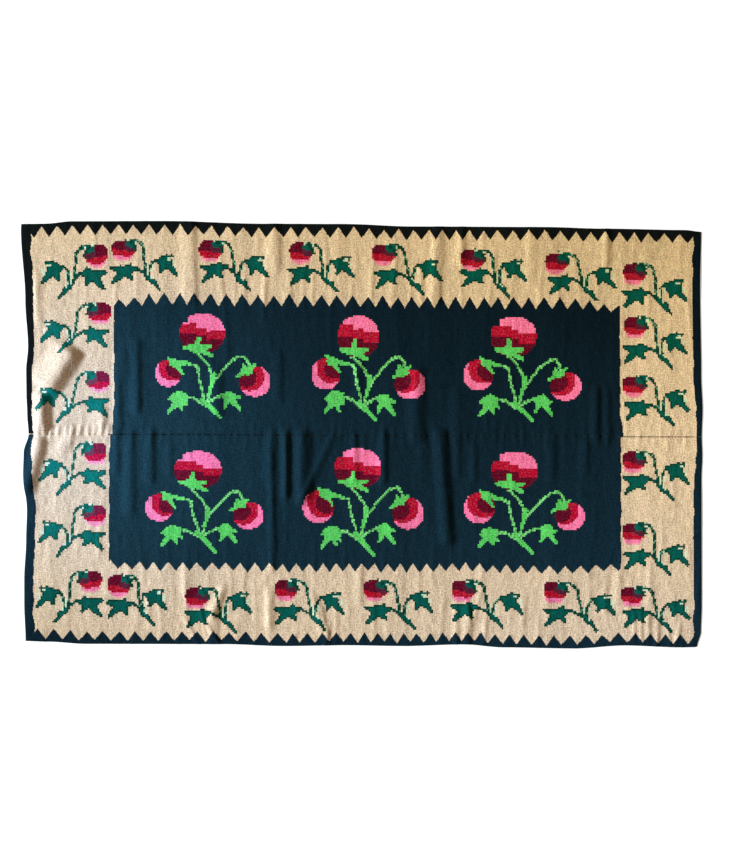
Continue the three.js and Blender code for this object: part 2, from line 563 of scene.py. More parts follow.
class Motif:
    """What bouquets and sprigs share: their own coordinates, and a weaver's small unevenness."""

    unevenness = 2.2
    lobe_end = 10.0

    def __init__(self, placing: Placing, seed: int) -> None:
        """Places the motif.

        Args:
            placing: Where it stands.
            seed: Fixes how this one differs from the others.
        """
        self.placing = placing
        self.draw = np.random.default_rng(seed)

    def place(self, chart: Chart) -> None:
        """Finds each step's place in the motif's own coordinates."""
        self.x = (chart.x - self.placing.x) * self.placing.mirror
        self.y = (chart.y - self.placing.y) / self.placing.rise

    def oval(
        self, x: float, y: float, half_width: float, half_height: float, fullness: float = 2.15
    ) -> np.ndarray:
        """Marks an oval, drawn a little unevenly.

        Args:
            x, y: Its middle.
            half_width, half_height: Half its sizes.
            fullness: 2 for an ellipse, and more for a squarer shape.

        Returns:
            True inside.
        """
        shift = self.draw.uniform(-1, 1, 4) * self.unevenness
        wide, high = half_width + shift[2], half_height + shift[3]
        return Oval(x + shift[0], y + shift[1], wide, high, fullness).covers(self.x, self.y)

    def stroke(self, points: Points, start: float, end: float) -> np.ndarray:
        """Marks a line, drawn a little unevenly.

        Args:
            points: The points that it runs through.
            start, end: Its widths at the two ends.

        Returns:
            True on the line.
        """
        shift = self.draw.uniform(-1, 1, (len(points), 2)) * self.unevenness
        moved = tuple(map(tuple, np.array(points, dtype=float) + shift))
        return Stroke(moved, start, end).covers(self.x, self.y)

    def spike(self, x: float, y: float, tip: Place, start: float, end: float) -> np.ndarray:
        """Marks a short line from a place to a tip that is measured from there."""
        return self.stroke(((x, y), (x + tip[0], y + tip[1])), start, end)

    def leaf(self, leaf: Leaf, shift: Place) -> np.ndarray:
        """Marks a leaf.

        Args:
            leaf: Its usual place and shape.
            shift: How far it is moved.

        Returns:
            True inside.
        """
        x, y = leaf.x + shift[0], leaf.y + shift[1]
        covered = self.oval(x, y, leaf.half_width, leaf.half_height)
        for tip_x, tip_y in leaf.lobes:
            root = (x + leaf.start * tip_x, y + leaf.start * tip_y)
            covered |= self.stroke((root, (x + tip_x, y + tip_y)), leaf.breadth, self.lobe_end)
        return covered

    def drawn(self, points: Points, part: str) -> Points:
        """Moves a stem's first point as far as the part that it holds, and its last one not at all.

        Args:
            points: The points that it runs through.
            part: The part, as its placing names it.

        Returns:
            The moved points.
        """
        over, up = getattr(self.placing, part)
        shares = np.linspace(1, 0, len(points))
        return tuple((x + over * k, y + up * k) for (x, y), k in zip(points, shares))

    def stem(
        self, chart: Chart, points: Points, widths: Widths, dyes: tuple[Dye, Dye], rate: int
    ) -> None:
        """Works a stem with a second wool at every few steps.

        Args:
            chart: The chart to work it into.
            points: The points that it runs through.
            widths: Its width at the first point and at the last one.
            dyes: Its wool and the second one.
            rate: How many steps apart the second wool is.
        """
        line = self.stroke(points, *widths)
        chart.paint(line, dyes[0])
        chart.paint(line & chart.every(rate), dyes[1])


class Bouquet(Motif):
    """Three round flower heads on bending stems, with a leaf on each side."""

    stems = {
        "left_bud": ((-90, 150), (-64, 147), (-36, 137), (-27, 78), (-12, 34), (-9, -4)),
        "flower": ((-38, 186), (-12, 160), (7, 137), (18, 112), (22, 66), (9, 30), (7, -4)),
        "right_bud": ((160, 134), (152, 156), (140, 172), (116, 170), (80, 140), (34, 82), (22, 60)),
    }
    petioles = {
        "left_leaf": ((-70, 24), (-44, 20), (-12, -4)),
        "right_leaf": ((66, 30), (40, 22), (8, 0)),
    }
    stalk = ((12, 34), (21, 64), (28, 104))
    tail = ((54, -66), (16, -22), (-12, 8))
    wools = (Dye.SHOOT, Dye.STEM)
    rate = 3
    left_leaf = Leaf(
        -100, 16, 33, 24, ((-35, -2), (-38, -51), (13, -42), (33, -22), (-18, 15), (4, 22), (24, 16)), 32
    )
    right_leaf = Leaf(90, 24, 24, 21, ((8, 18), (38, -5), (40, -51), (-19, -41), (-26, 6)), 30)
    head = (-13.0, 256.0, 84.0, 72.0)
    notch = (-54, 40)
    steps = (-12, 18)
    red_from = (0, -7, -24)
    pink_from = (37, 22, 9)
    head_calyx = (-34, 202, 28, 16)
    head_spikes = (((5, 36), 26, 16), ((-44, 5), 26, 14), ((52, 4), 22, 13), ((52, -28), 24, 14))
    left_bud = (-146.0, 112.0, 54.0, 54.0)
    right_bud = (177.0, 78.0, 55.0, 54.0)
    bud_red = (18, 20)
    bud_maroon = (34, 14, 40, 36)
    bud_calyx = (28, -12, 22, 16)
    bud_spikes = {-1: ((26, -38), (-24, 20), (34, 0)), 1: ((-36, -22), (30, 20), (-12, 20))}

    def weave(self, chart: Chart) -> None:
        """Works the bouquet into the chart.

        Args:
            chart: The chart to work it into.
        """
        self.place(chart)
        self.weave_stems(chart)
        self.weave_leaves(chart)
        self.weave_head(chart)
        x, y, half_width, half_height = self.left_bud
        size = self.placing.left_size
        self.weave_bud(chart, (x, y, half_width * size, half_height * size), self.placing.left_bud, -1)
        self.weave_bud(chart, self.right_bud, self.placing.right_bud, 1)

    def weave_stems(self, chart: Chart) -> None:
        """Works the three stems and the stalk that they join in."""
        for part, path in self.stems.items():
            self.stem(chart, self.drawn(path, part), (10, 9), self.wools, self.rate)
        root = self.drawn(self.stems["left_bud"], "left_bud")[:2]
        tail = self.drawn(self.tail, "tail")
        for path, start, end in ((root, 17, 11), (self.stalk, 12, 17), (tail, 11, 23)):
            chart.paint(self.stroke(path, start, end), Dye.LEAF)

    def weave_leaves(self, chart: Chart) -> None:
        """Works the two leaves and their own short stems."""
        for part, path in self.petioles.items():
            self.stem(chart, self.drawn(path, part), (10, 10), self.wools, self.rate)
        chart.paint(self.leaf(self.left_leaf, self.placing.left_leaf), Dye.LEAF)
        chart.paint(self.leaf(self.right_leaf, self.placing.right_leaf), Dye.LEAF)

    def weave_head(self, chart: Chart) -> None:
        """Works the big flower in three bands that step down to the right, and its calyx."""
        over, up = self.placing.flower
        x, y = self.head[0] + over, self.head[1] + up
        whole = self.oval(x, y, self.head[2] * self.placing.head_size, self.head[3])
        whole &= (self.x > x + self.notch[0]) | (self.y < y + self.notch[1])
        chart.paint(whole, Dye.MAROON)
        first, second = self.steps
        steps = np.digitize(self.x, (x + first + self.draw.uniform(-8, 8), x + second))
        for heights, spread, dye in ((self.red_from, 3, Dye.CRIMSON), (self.pink_from, 4, Dye.PINK)):
            start = np.array(heights)[steps] + self.draw.uniform(-spread, spread)
            chart.paint(whole & (self.y > y + start), dye)
        root_x, root_y = self.head_calyx[0] + over, self.head_calyx[1] + up
        chart.paint(self.oval(root_x, root_y, *self.head_calyx[2:]), Dye.LEAF)
        for tip, start, end in self.head_spikes:
            chart.paint(self.spike(root_x, root_y, tip, start, end), Dye.LEAF)

    def weave_bud(self, chart: Chart, bud: tuple[float, ...], shift: Place, lean: int) -> None:
        """Works a side flower: its petals show pink outwards and below, and its calyx is above.

        Args:
            chart: The chart to work it into.
            bud: Its usual middle and half its sizes.
            shift: How far it is moved.
            lean: -1 for the flower on the left and 1 for the one on the right.
        """
        x, y = bud[0] + shift[0], bud[1] + shift[1]
        half_width, half_height = bud[2:]
        whole = self.oval(x, y, half_width, half_height)
        chart.paint(whole, Dye.PINK)
        inwards, up = self.bud_red
        chart.paint(whole & self.oval(x - lean * inwards, y + up, half_width, half_height), Dye.CRIMSON)
        inwards, up, *sizes = self.bud_maroon
        chart.paint(whole & self.oval(x - lean * inwards, y + up, *sizes), Dye.MAROON)
        inwards, up, *sizes = self.bud_calyx
        root_x, root_y = x - lean * inwards, y + half_height + up
        chart.paint(self.oval(root_x, root_y, *sizes), Dye.LEAF)
        for tip in self.bud_spikes[lean]:
            chart.paint(self.spike(root_x, root_y, tip, 20, 9), Dye.LEAF)


class Sprig(Motif):
    """One hanging flower on a bent stem between two winged leaves."""

    unevenness = 1.6
    lobe_end = 14.0
    bent_stem = ((-50, 124), (-32, 116), (-20, 98), (-16, 64), (-10, 34), (-6, 0))
    stems = (
        ("flower", bent_stem, (12, 11), Dye.SAGE, 5),
        ("left_leaf", ((-38, 26), (-12, 8), (2, -6)), (10, 11), Dye.EMERALD, 4),
        ("right_leaf", ((36, 56), (19, 47), (11, 28), (9, 0)), (10, 12), Dye.SAGE, 5),
    )
    tail = ((-2, 2), (22, -24), (46, -52))
    tail_wing = ((8, -12), (27, -26))
    left_leaf = Leaf(-81, 16, 33, 20, ((-48, 10), (-42, -43), (25, -29), (19, 21), (44, 8)), 30, 0.4)
    right_leaf = Leaf(66, 46, 28, 26, ((-35, 9), (8, 23), (29, 22), (44, -46), (-15, -35)), 28, 0.35)
    leaf_spots = ((18, 13, 9, 5), (37, -8, 5, 12))
    joint_lines = (((3, 32), (2, 2)), ((22, 34), (19, 16)), ((14, -4), (22, -12)))
    flower = (-97, 98, 43, 32)
    fullness = 2.9
    tip = (-3, -29, 35, 19)
    band_tilt = 0.1
    ruby_from = -32
    maroon_from = -8
    calyx = (28, 18, 22, 16)
    calyx_shade = (0, -14, 28, 20)
    calyx_lines = (((0, 4), (-17, 16), 13, 8), ((9, -8), (18, -26), 12, 9))
    calyx_spots = ((17, 2, 5, 5), (-14, 12, 5, 5))

    def weave(self, chart: Chart) -> None:
        """Works the sprig into the chart.

        Args:
            chart: The chart to work it into.
        """
        self.place(chart)
        for part, path, widths, second, rate in self.stems:
            self.stem(chart, self.drawn(path, part), widths, (Dye.PINE, second), rate)
        tail = self.stroke(self.tail, 19, 12) | self.stroke(self.tail_wing, 24, 20)
        left, right = self.placing.left_leaf, self.placing.right_leaf
        chart.paint_edged(tail, Dye.EMERALD, Dye.PINE)
        chart.paint_edged(self.leaf(self.left_leaf, left), Dye.EMERALD, Dye.PINE)
        chart.paint_edged(self.leaf(self.right_leaf, right), Dye.EMERALD, Dye.PINE)
        x, y = self.right_leaf.x + right[0], self.right_leaf.y + right[1]
        self.weave_spots(chart, x, y, self.leaf_spots)
        for line in self.joint_lines:
            chart.paint(self.stroke(line, 5, 6), Dye.MINT)
        self.weave_flower(chart)

    def weave_spots(self, chart: Chart, x: float, y: float, spots: tuple) -> None:
        """Works small pale spots round a place.

        Args:
            chart: The chart to work them into.
            x, y: The place.
            spots: How far each spot's middle is from there, and half its sizes.
        """
        for over, up, *sizes in spots:
            chart.paint(self.oval(x + over, y + up, *sizes), Dye.MINT)

    def weave_flower(self, chart: Chart) -> None:
        """Works the flower in three bands, from maroon at the top to pink, and its calyx."""
        x, y = self.flower[0] + self.placing.flower[0], self.flower[1] + self.placing.flower[1]
        over, up, *sizes = self.tip
        chart.paint_edged(self.oval(x + over, y + up, *sizes), Dye.ROSE, Dye.BLUSH)
        upper = self.oval(x, y, *self.flower[2:], self.fullness)
        level = (self.y - y + self.band_tilt * (self.x - x)) + self.draw.uniform(-3, 3)
        chart.paint(upper & (level > self.ruby_from), Dye.RUBY)
        chart.paint(upper & (level > self.maroon_from), Dye.MAROON)
        x, y = x + self.calyx[0], y + self.calyx[1]
        over, up, *sizes = self.calyx_shade
        chart.paint(upper & self.oval(x + over, y + up, *sizes), Dye.PLUM)
        chart.paint(self.oval(x, y, *self.calyx[2:]), Dye.EMERALD)
        for *ends, first, last in self.calyx_lines:
            line = self.stroke(tuple((x + over, y + up) for over, up in ends), first, last)
            chart.paint(line, Dye.PINE)
        self.weave_spots(chart, x, y, self.calyx_spots)


BOUQUETS = (
    Placing(-571, 116, left_bud=(5, -2), right_leaf=(-6, 0), tail=(-4, 17), left_size=0.88),
    Placing(4, 105, rise=1.04, flower=(-3, -10), left_bud=(9, 3), right_bud=(-5, 0), left_leaf=(0, 11),
            right_leaf=(-14, -2), tail=(-8, 17), head_size=0.91),
    Placing(571, 105, left_bud=(4, 3), right_bud=(0, -3), right_leaf=(-3, -4), tail=(0, 14)),
    Placing(-589, -369, rise=0.94, left_bud=(-5, -3), right_bud=(-4, 0), left_leaf=(-4, -4),
            right_leaf=(0, -2), left_size=0.97),
    Placing(-10, -375, rise=1.02, flower=(9, -8), left_bud=(-4, -3), right_bud=(2, 7), left_leaf=(0, -4),
            right_leaf=(2, 2), left_size=1.08),
    Placing(573, -375, rise=0.95, right_bud=(12, 1), left_bud=(2, 0), left_leaf=(-6, -6),
            right_leaf=(13, 2), left_size=1.07),
)
SPRIGS = (
    Placing(-1063, 557, -1, rise=1.08, flower=(7, 0), left_leaf=(5, 9)),
    Placing(-788, 586, flower=(12, 0)),
    Placing(-457, 582, left_leaf=(0, 9)),
    Placing(-137, 578, flower=(12, -3), right_leaf=(-4, 3)),
    Placing(179, 568),
    Placing(495, 558, flower=(9, -8), left_leaf=(0, 14), right_leaf=(-6, 9)),
    Placing(814, 546, flower=(-3, -9), right_leaf=(3, -5)),
    Placing(1087, 498, flower=(9, 0), right_leaf=(-9, -3)),
    Placing(-1060, 353, -1, right_leaf=(3, -9)),
    Placing(-1070, 101, -1, flower=(-9, 3), left_leaf=(-12, -3), right_leaf=(8, -3)),
    Placing(-1070, -165, -1, flower=(6, 6)),
    Placing(-1070, -391, -1, flower=(6, 6), left_leaf=(5, 0)),
    Placing(-1081, -633, -1, flower=(12, 3), right_leaf=(0, 3)),
    Placing(1091, 296, flower=(9, 6), left_leaf=(0, -3), right_leaf=(-12, 3)),
    Placing(1096, 86, right_leaf=(-9, 3)),
    Placing(1092, -185, flower=(3, -6), right_leaf=(-6, 9)),
    Placing(1085, -462, flower=(9, 9), left_leaf=(8, 0), right_leaf=(0, -15)),
    Placing(1090, -674, rise=0.94, flower=(-2, -5)),
    Placing(-809, -644, flower=(17, 0), right_leaf=(-18, 6), left_leaf=(5, 3)),
    Placing(-509, -672, flower=(0, -18), left_leaf=(-7, -6), right_leaf=(-9, 20)),
    Placing(-181, -661, left_leaf=(-7, -3), right_leaf=(3, 9)),
    Placing(148, -661, flower=(-3, -3), left_leaf=(-4, 0), right_leaf=(0, 12)),
    Placing(470, -655, flower=(0, -9), left_leaf=(-10, 0), right_leaf=(9, 0)),
    Placing(816, -666, flower=(-9, -3), left_leaf=(-15, -3), right_leaf=(0, 9)),
)


def chart_flowers(form: RugForm, columns: int, rows: int) -> Chart:
    """Charts every flower of the rug.

    Args:
        form: The rug's size and lie.
        columns: Steps along a panel.
        rows: Steps across it.

    Returns:
        The chart, with the far panel first.
    """
    along = (np.arange(columns) + 0.5)[None, :] / columns
    across = (np.arange(rows) + 0.5)[:, None] / rows
    places = [form.point(side, along, across) for side in Side]
    x, y = (np.stack([place[axis] for place in places]) for axis in (0, 1))
    chart = Chart(x, y, np.zeros((*x.shape, 4)))
    for number, placing in enumerate(BOUQUETS):
        Bouquet(placing, 100 + number).weave(chart)
    for number, placing in enumerate(SPRIGS):
        Sprig(placing, 200 + number).weave(chart)
    return chart


class Wiring:
    """Adds nodes to a node tree and links them."""

    def __init__(self, tree: bpy.types.NodeTree) -> None:
        """Takes the tree to add to."""
        self.tree = tree

    def add(self, kind: str, inputs: dict | None = None, **settings) -> bpy.types.Node:
        """Adds a node.

        Args:
            kind: Its type.
            inputs: A value or a socket for each of its inputs, by name or number.
            settings: Its own properties.

        Returns:
            The node.
        """
        node = self.tree.nodes.new(kind)
        for name, value in settings.items():
            setattr(node, name, value)
        self.feed(node, inputs or {})
        return node

    def feed(self, node: bpy.types.Node, inputs: dict) -> None:
        """Gives a node its inputs.

        Args:
            node: The node.
            inputs: A value or a socket for each input, by name or number.
        """
        for key, value in inputs.items():
            if isinstance(value, bpy.types.NodeSocket):
                self.tree.links.new(value, node.inputs[key])
            else:
                node.inputs[key].default_value = value

    def math(self, operation: str, *values: Value) -> bpy.types.NodeSocket:
        """Adds a Math node and returns what it puts out."""
        return self.add("ShaderNodeMath", dict(enumerate(values)), operation=operation).outputs[0]

    def plus(self, first: Value, *others: Value) -> bpy.types.NodeSocket:
        """Adds values up."""
        for other in others:
            first = self.math("ADD", first, other)
        return first

    def minus(self, first: Value, second: Value) -> bpy.types.NodeSocket:
        """Takes the second value from the first."""
        return self.math("SUBTRACT", first, second)

    def times(self, first: Value, second: Value) -> bpy.types.NodeSocket:
        """Multiplies two values."""
        return self.math("MULTIPLY", first, second)

    def parts(self, vector: bpy.types.NodeSocket) -> bpy.types.NodeOutputs:
        """Splits a vector into its three values."""
        return self.add("ShaderNodeSeparateXYZ", {0: vector}).outputs

    def mix(self, share: Value, first: Tint, second: Tint, blend: str = "MIX") -> bpy.types.NodeSocket:
        """Mixes two colours.

        Args:
            share: How much of the second.
            first, second: The colours.
            blend: How they are blended.

        Returns:
            The mixed colour.
        """
        inputs = {"Factor": share, 6: first, 7: second}
        return self.add("ShaderNodeMix", inputs, data_type="RGBA", blend_type=blend).outputs[2]

    def noise(self, vector: bpy.types.NodeSocket, scale: float, detail: float) -> bpy.types.NodeSocket:
        """Adds a noise that runs from about 0 to 1.

        Args:
            vector: Where it is read.
            scale: How fine it is.
            detail: How many finer layers it has.

        Returns:
            Its value.
        """
        inputs = {"Vector": vector, "Scale": scale, "Detail": detail}
        return self.add("ShaderNodeTexNoise", inputs).outputs[0]

    def group(self, tree: bpy.types.NodeTree, inputs: dict) -> bpy.types.NodeOutputs:
        """Places a node group with its inputs, and returns what it puts out."""
        return self.add("ShaderNodeGroup", inputs, node_tree=tree).outputs


def new_group(name: str, takes: dict[str, str], gives: dict[str, str]) -> tuple:
    """Makes an empty node group.

    Args:
        name: Its name.
        takes: The type of each input, by name: Float, Color or Vector.
        gives: The type of each output, by name.

    Returns:
        The wiring of the group, the sockets of its inputs and its output node.
    """
    tree = bpy.data.node_groups.new(name, "ShaderNodeTree")
    for way, sockets in (("INPUT", takes), ("OUTPUT", gives)):
        for label, kind in sockets.items():
            tree.interface.new_socket(label, in_out=way, socket_type=f"NodeSocket{kind}")
    entry, leave = tree.nodes.new("NodeGroupInput"), tree.nodes.new("NodeGroupOutput")
    return Wiring(tree), entry.outputs, leave


@dataclass(frozen=True)
class Ground:
    """The sizes of a panel's woven ground, from its left end and from the seam."""

    left_band: float = 34.0
    left_band_at_seam: float = 19.0
    left_reach: float = 760.0
    right_band: float = 31.0
    right_band_at_seam: float = 20.0
    right_reach: float = 220.0
    field_left: float = 340.0
    field_left_at_seam: float = 335.0
    field_right: float = 2196.0
    field_right_at_seam: float = 2209.0
    outer_tips: float = 769.0
    outer_roots: float = 731.0
    inner_tips: float = 475.0
    inner_roots: float = 520.0
    corner_dip: float = 28.0
    # How much painted sheen the dark bands go without, leaving them darker as if turned from the light.
    band_sheen_cut: float = 1.0
    band_dye: Dye = Dye.COAL


@dataclass(frozen=True)
class GroundPattern:
    """Tells dark ground from cream: bands, saw teeth and field."""

    length: float = 2500.0
    warp_pitch: float = 3.5
    weft_step: float = 2.6
    field_reach: float = 110.0
    corner_reach: float = 160.0
    tip_share: float = 0.4
    lines_apart: float = 400.0
    end_drift: tuple[float, float] = (0.02, 4.0)
    line_drift: tuple[float, float] = (0.02, 5.0)
    tooth_drift: tuple[float, float] = (0.015, 0.05)
    tooth_step: float = 0.045

    @staticmethod
    def sizes() -> tuple[str, ...]:
        """Names the sizes of a ground that the group takes."""
        return tuple(name for name in Ground.__dataclass_fields__ if not name.startswith("band_"))

    def build(self) -> bpy.types.NodeTree:
        """Builds the node group.

        Returns:
            The group.
        """
        takes = {"Weave": "Vector", "Teeth": "Vector"} | dict.fromkeys(self.sizes(), "Float")
        wire, size, leave = new_group("woven_ground", takes, {"Dark": "Float", "Band": "Float"})
        place, counts = wire.parts(size["Weave"]), wire.parts(size["Teeth"])
        u = wire.math("SNAP", wire.times(place[0], 1 / MM), self.weft_step)
        v = wire.math("SNAP", wire.times(place[1], 1 / MM), self.warp_pitch)
        reach = self.field_reach
        field_left = self.eased(wire, v, reach, size["field_left_at_seam"], size["field_left"])
        field_right = self.eased(wire, v, reach, size["field_right_at_seam"], size["field_right"])
        from_left = wire.minus(u, size["field_left"])
        from_corner = wire.math("MINIMUM", from_left, wire.minus(size["field_right"], u))
        dip = self.eased(wire, from_corner, self.corner_reach, size["corner_dip"], 0.0)
        roots = wire.minus(size["inner_roots"], dip)
        tips = wire.minus(size["inner_tips"], wire.times(dip, self.tip_share))
        outer_line = self.saw_line(wire, u, counts[0], size["outer_roots"], size["outer_tips"], 0.0)
        inner_line = self.saw_line(wire, u, counts[1], roots, tips, self.lines_apart)
        ends = wire.plus(u, self.wander(wire, v, *self.end_drift))
        left_edge, right_band = (
            self.eased(wire, v, size[f"{end}_reach"], size[f"{end}_band_at_seam"], size[f"{end}_band"])
            for end in ("left", "right")
        )
        right_edge = wire.minus(self.length, right_band)
        past_teeth = wire.math("GREATER_THAN", v, outer_line)
        band = wire.math("MAXIMUM", past_teeth, wire.math("LESS_THAN", ends, left_edge))
        bands = wire.math("MAXIMUM", band, wire.math("GREATER_THAN", ends, right_edge))
        field = wire.math("LESS_THAN", v, inner_line)
        field = wire.times(field, wire.math("GREATER_THAN", ends, field_left))
        field = wire.times(field, wire.math("LESS_THAN", ends, field_right))
        wire.feed(leave, {"Dark": wire.math("MAXIMUM", bands, field), "Band": band})
        return wire.tree

    @staticmethod
    def eased(
        wire: Wiring, place: Value, reach: Value, start: Value, end: Value
    ) -> bpy.types.NodeSocket:
        """Eases a size from one value to another.

        Args:
            wire: The wiring of the group.
            place: The distance from where it starts to change.
            reach: The distance over which it changes.
            start, end: The two values.

        Returns:
            The size at each place.
        """
        inputs = {"Value": place, 1: 0.0, 2: reach, 3: start, 4: end}
        return wire.add("ShaderNodeMapRange", inputs, interpolation_type="SMOOTHSTEP").outputs[0]

    @staticmethod
    def wander(wire: Wiring, place: Value, scale: float, reach: float) -> bpy.types.NodeSocket:
        """Adds a slow drift to and fro.

        Args:
            wire: The wiring of the group.
            place: Where it is read, in millimetres.
            scale: How fine it is.
            reach: How far it drifts, from side to side.

        Returns:
            The drift.
        """
        inputs = {"W": place, "Scale": scale, "Detail": 0.0}
        noise = wire.add("ShaderNodeTexNoise", inputs, noise_dimensions="1D")
        return wire.times(wire.minus(noise.outputs[0], 0.5), 2 * reach)

    def saw_line(
        self, wire: Wiring, u: Value, count: Value, root: Value, tip: Value, apart: float
    ) -> bpy.types.NodeSocket:
        """Works out a line of saw teeth.

        Args:
            wire: The wiring of the group.
            u: The place along the panel.
            count: The teeth counted up to there, whole at the pale tips.
            root, tip: The distances from the seam that the pale wool runs to, least and most.
            apart: Keeps this line's unevenness from following another's.

        Returns:
            The line's distance from the seam.
        """
        seeded = wire.plus(u, apart)
        uneven = wire.plus(count, self.wander(wire, seeded, *self.tooth_drift))
        stepped = wire.math("SNAP", uneven, self.tooth_step)
        share = wire.minus(1.0, wire.times(wire.math("PINGPONG", stepped, 0.5), 2.0))
        reach = wire.times(wire.minus(tip, root), share)
        return wire.plus(root, reach, self.wander(wire, seeded, *self.line_drift))


@dataclass(frozen=True)
class WeaveRelief:
    """The relief of the weave: ribs over the warps, beaded by the wefts."""

    fuzz_scale: float = 420.0
    fuzz_drift: float = 0.8
    rib_height: float = 0.6
    bead_height: float = 0.3
    fuzz_height: float = 0.35

    def build(self) -> bpy.types.NodeTree:
        """Builds the node group.

        Returns:
            The group.
        """
        takes = {"Weave": "Vector", "Warp pitch": "Float", "Weft pitch": "Float"}
        gives = {"Height": "Float", "Bead": "Float"}
        wire, given, leave = new_group("tapestry_weave", takes, gives)
        place = wire.parts(given["Weave"])
        fuzz = wire.noise(given["Weave"], self.fuzz_scale, 2.0)
        drift = wire.times(wire.minus(fuzz, 0.5), self.fuzz_drift)
        warp = wire.plus(wire.math("DIVIDE", place[1], given["Warp pitch"]), drift)
        odd = wire.math("PINGPONG", wire.math("FLOOR", warp), 1.0)
        weft = wire.math("DIVIDE", place[0], given["Weft pitch"])
        weft = wire.plus(weft, wire.times(odd, 0.5), drift)
        rib, bead = (
            wire.math("ABSOLUTE", wire.math("SINE", wire.times(thread, math.pi)))
            for thread in (warp, weft)
        )
        height = wire.plus(wire.times(rib, self.rib_height), wire.times(bead, self.bead_height))
        height = wire.plus(height, wire.times(fuzz, self.fuzz_height))
        wire.feed(leave, {"Height": height, "Bead": wire.times(rib, bead)})
        return wire.tree


@dataclass(frozen=True)
class UnevenWool:
    """What makes dyed wool uneven: bands, streaks and flecks.

    Args:
        bands, streaks, flecks, heather, depths: How fine each one's noise is along the cloth and
            across it, and how many finer layers it has.
        band_share: How strong the bands are.
        bead_painted_shade: How much painted shade darkens the hollows between the beads.
        hue_share: How far heathered wool turns in hue.
        depth_range: The least and the most saturation.
    """

    bands: tuple[float, float, float] = (14.0, 1.5, 1.0)
    streaks: tuple[float, float, float] = (420.0, 30.0, 1.0)
    flecks: tuple[float, float, float] = (170.0, 190.0, 2.0)
    heather: tuple[float, float, float] = (180.0, 200.0, 1.0)
    depths: tuple[float, float, float] = (150.0, 140.0, 1.0)
    band_share: float = 0.5
    bead_painted_shade: float = 0.12
    hue_share: float = 0.2
    depth_range: tuple[float, float] = (0.85, 1.12)

    def build(self) -> bpy.types.NodeTree:
        """Builds the node group.

        Returns:
            The group.
        """
        takes = {"Weave": "Vector", "Color": "Color"}
        takes |= dict.fromkeys(("Bead", "Streaks", "Flecks", "Heather"), "Float")
        wire, given, leave = new_group("uneven_wool", takes, {"Color": "Color"})

        def read(fineness: tuple[float, float, float]) -> bpy.types.NodeSocket:
            """Reads a noise about 0 that is stretched along or across the cloth."""
            inputs = {0: given["Weave"], 1: (*fineness[:2], 1.0)}
            place = wire.add("ShaderNodeVectorMath", inputs, operation="MULTIPLY").outputs[0]
            return wire.minus(wire.noise(place, 1.0, fineness[2]), 0.5)

        bands = wire.times(read(self.bands), self.band_share)
        streaks = wire.times(read(self.streaks), given["Streaks"])
        flecks = wire.times(read(self.flecks), given["Flecks"])
        # Painted shade: the hollows between the weave's beads are darkened in the colour.
        shade = wire.times(wire.minus(given["Bead"], 0.5), self.bead_painted_shade)
        level = wire.plus(bands, streaks, flecks, shade, 1.0)
        turn = wire.times(read(self.heather), given["Heather"])
        least, most = self.depth_range
        depth = {"Value": read(self.depths), 1: -0.3, 2: 0.3, 3: least, 4: most}
        inputs = {"Hue": wire.plus(wire.times(turn, self.hue_share), 0.5), "Value": level}
        inputs["Saturation"] = wire.add("ShaderNodeMapRange", depth).outputs[0]
        inputs["Color"] = given["Color"]
        toned = wire.add("ShaderNodeHueSaturation", inputs)
        wire.feed(leave, {0: toned.outputs[0]})
        return wire.tree


@dataclass(frozen=True)
class Glow:
    """A soft round patch on the floor, strongest at its middle. Its sizes are in metres."""

    x: float
    y: float
    spread: float
    strength: float

    def read(self, wire: Wiring, place: bpy.types.NodeSocket) -> bpy.types.NodeSocket:
        """Reads the patch.

        Args:
            wire: The wiring to add to.
            place: Where it is read.

        Returns:
            Its strength there.
        """
        inputs = {0: place, 1: (self.x, self.y, 0.0)}
        offset = wire.add("ShaderNodeVectorMath", inputs, operation="DISTANCE").outputs["Value"]
        away = wire.math("POWER", wire.math("DIVIDE", offset, self.spread), 2.0)
        return wire.times(wire.math("POWER", wire.plus(away, 1.0), -1.5), self.strength)


